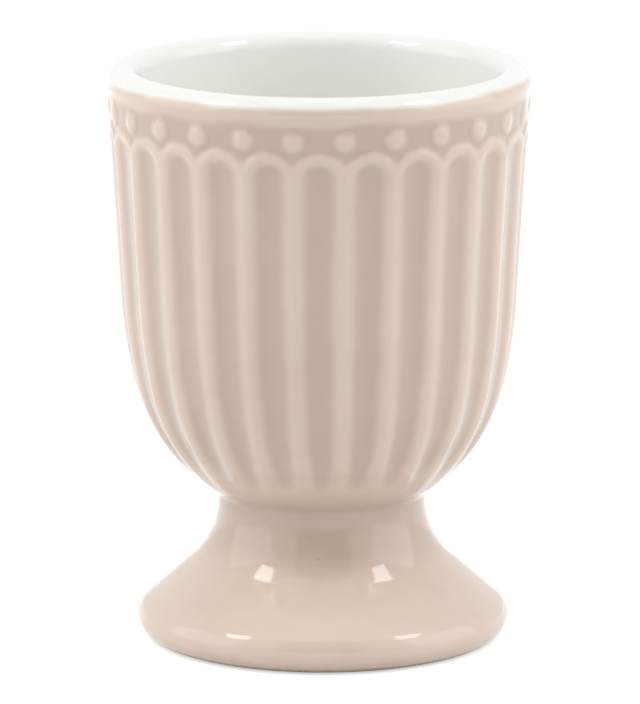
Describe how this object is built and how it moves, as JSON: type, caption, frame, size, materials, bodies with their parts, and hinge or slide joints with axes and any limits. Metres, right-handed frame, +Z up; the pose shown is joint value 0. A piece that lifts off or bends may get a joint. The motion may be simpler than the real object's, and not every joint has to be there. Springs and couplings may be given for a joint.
{
  "type": "egg cup",
  "caption": "Footed stoneware egg cup: fluted bowl with arched flute tops and a row of beads under a round white lip, on a plain hollow foot; holds one boiled egg.",
  "frame": {"origin": "on the table, under the middle of the foot", "axes": "+Z up through the cup's axis; a flute faces -Y, and beads stand at half a flute's turn from it"},
  "size_m": [0.05, 0.05, 0.0686],
  "materials": {
    "coloured_glaze": "glossy dusty rose-beige glaze on pale stoneware",
    "white_glaze": "glossy white glaze on pale stoneware"
  },
  "bodies": {
    "root": {"bowl": "coloured_glaze", "foot": "coloured_glaze", "white_lining": "white_glaze", "underside_glaze": "white_glaze"}
  },
  "joints": []
}
